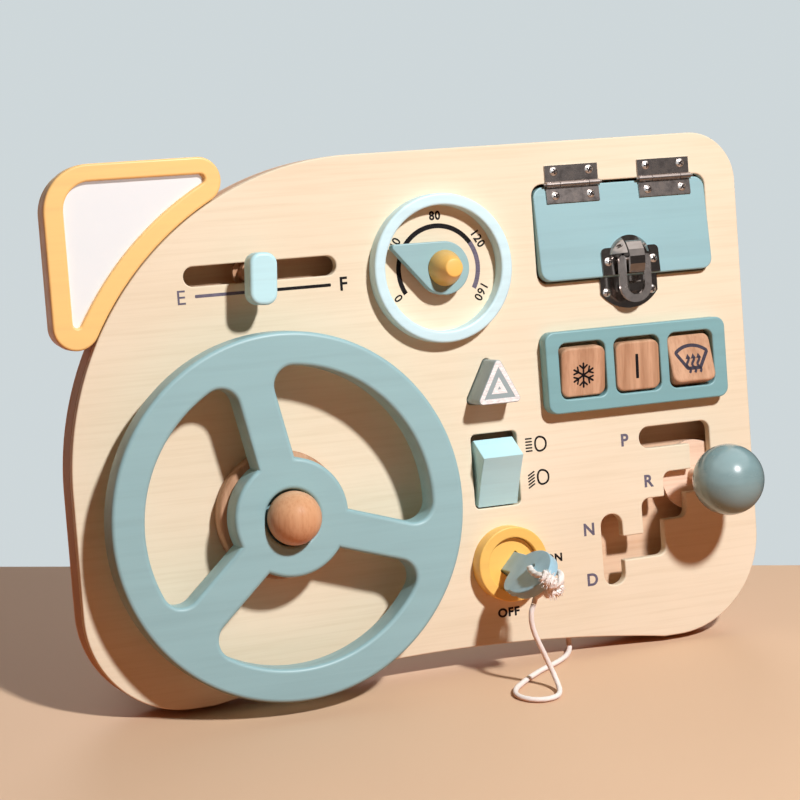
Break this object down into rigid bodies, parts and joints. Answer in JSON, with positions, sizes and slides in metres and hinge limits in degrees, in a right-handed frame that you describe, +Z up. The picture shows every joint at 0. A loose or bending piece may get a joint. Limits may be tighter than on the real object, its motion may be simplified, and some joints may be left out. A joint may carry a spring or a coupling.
{
  "type": "busy board",
  "caption": "Leaning wooden dashboard busy board with steering wheel, mirror, slider, speedometer, latched door, rocking buttons, light switch, ignition lock and gear gate.",
  "frame": {"origin": "on the table, under the middle of the board's footprint", "axes": "+X to the viewer's right along the board's width, +Y from the front face to the stand fins behind, +Z up; the front face looks to -Y and leans back 11 degrees"},
  "size_m": [0.3525, 0.1516, 0.2511],
  "materials": {
    "board_front": "bare birch plywood, sanded, clear matt lacquer",
    "birch_ply": "sanded birch plywood, clear wax",
    "beech": "sanded beech, clear wax",
    "yellow_paint": "pale yellow paint on wood, satin",
    "sage_paint": "sage blue paint on wood, satin",
    "teal_paint": "light teal paint on wood, satin",
    "pale_cyan_paint": "very light cyan paint on wood, satin",
    "mirror": "acrylic safety mirror",
    "gunmetal": "dark nickel plated steel",
    "steel": "zinc plated steel",
    "cotton": "white cotton cord"
  },
  "bodies": {
    "board": {"front_panel": "board_front", "body_frame": "birch_ply", "back_panel": "birch_ply", "inner_blocks": "birch_ply", "stand_fins": "birch_ply", "mirror_frame": "yellow_paint", "mirror_sheet": "mirror", "mirror_back": "yellow_paint", "wheel_spacer": "beech", "wheel_axle": "beech", "dial_ring": "pale_cyan_paint", "hinge_leaves_board": "gunmetal", "hinge_pins": "gunmetal", "screws_board": "steel", "latch_catch": "gunmetal", "button_frame": "teal_paint", "button_pin": "steel", "light_switch_pin": "steel", "ignition_ring": "yellow_paint", "cord": "cotton", "cord_end_knot": "cotton"},
    "wheel": {"steering_wheel": "sage_paint"},
    "slider": {"slider_knob": "pale_cyan_paint", "slider_stem": "beech"},
    "dial": {"dial_pointer": "sage_paint", "dial_knob": "yellow_paint"},
    "door": {"door_flap": "teal_paint", "hinge_leaves_door": "gunmetal", "screws_door": "steel", "latch_plate": "gunmetal"},
    "lever": {"latch_lever": "gunmetal"},
    "bail": {"latch_bail": "gunmetal"},
    "button_left": {"button_left": "beech"},
    "button_middle": {"button_middle": "beech"},
    "button_right": {"button_right": "beech"},
    "hazard": {"hazard_button": "sage_paint"},
    "switch": {"light_switch": "pale_cyan_paint"},
    "barrel": {"ignition_barrel": "yellow_paint"},
    "key": {"ignition_key": "sage_paint", "cord_top": "cotton", "cord_knot": "cotton"},
    "gear": {"gear_ball": "sage_paint", "gear_stem": "beech"}
  },
  "joints": [
    {"name": "wheel_turn", "type": "hinge", "parent": "board", "child": "wheel", "pos_m": [-0.08, -0.03137, 0.09061], "axis": [0, -0.9816, 0.1908], "continuous": true},
    {"name": "slider_slide", "type": "slide", "parent": "board", "child": "slider", "axis": [1, 0, 0], "range_m": [-0.0273, 0.0375]},
    {"name": "dial_turn", "type": "hinge", "parent": "board", "child": "dial", "pos_m": [0.0109, 0.00082, 0.19335], "axis": [0, -0.9816, 0.1908], "continuous": true},
    {"name": "door_hinge", "type": "hinge", "parent": "board", "child": "door", "pos_m": [0.11, 0.01101, 0.22743], "axis": [-1, 0, 0], "range_deg": [-5.4, 95]},
    {"name": "lever_hinge", "type": "hinge", "parent": "door", "child": "lever", "pos_m": [0.1114, -0.00039, 0.19702], "axis": [-1, 0, 0], "range_deg": [0, 95]},
    {"name": "bail_hinge", "type": "hinge", "parent": "lever", "child": "bail", "pos_m": [0.1114, -0.00282, 0.19096], "axis": [-1, 0, 0], "range_deg": [0, 60]},
    {"name": "button_left_rock", "type": "hinge", "parent": "board", "child": "button_left", "pos_m": [0.08, -0.00837, 0.1387], "axis": [-1, 0, 0], "range_deg": [-9, 23]},
    {"name": "button_middle_rock", "type": "hinge", "parent": "board", "child": "button_middle", "pos_m": [0.11, -0.00837, 0.1387], "axis": [-1, 0, 0], "range_deg": [-13, 19]},
    {"name": "button_right_rock", "type": "hinge", "parent": "board", "child": "button_right", "pos_m": [0.14, -0.00837, 0.1387], "axis": [-1, 0, 0], "range_deg": [-32, 0]},
    {"name": "hazard_press", "type": "slide", "parent": "board", "child": "hazard", "axis": [0, 0.9816, -0.1908], "range_m": [0, 0.005], "stiffness_N_per_m": 400},
    {"name": "switch_rock", "type": "hinge", "parent": "board", "child": "switch", "pos_m": [0.0333, -0.00829, 0.09407], "axis": [1, 0, 0], "range_deg": [-49, 0]},
    {"name": "barrel_turn", "type": "hinge", "parent": "board", "child": "barrel", "pos_m": [0.0356, -0.0219, 0.05026], "axis": [0, -0.9816, 0.1908], "range_deg": [-46.5, 43.5]},
    {"name": "key_pull", "type": "slide", "parent": "barrel", "child": "key", "axis": [0, -0.9816, 0.1908], "range_m": [0, 0.05]},
    {"name": "gear_slide", "type": "slide", "parent": "board", "child": "gear", "axis": [0, 0.1908, 0.9816], "range_m": [-0.0045, 0.0237]}
  ]
}
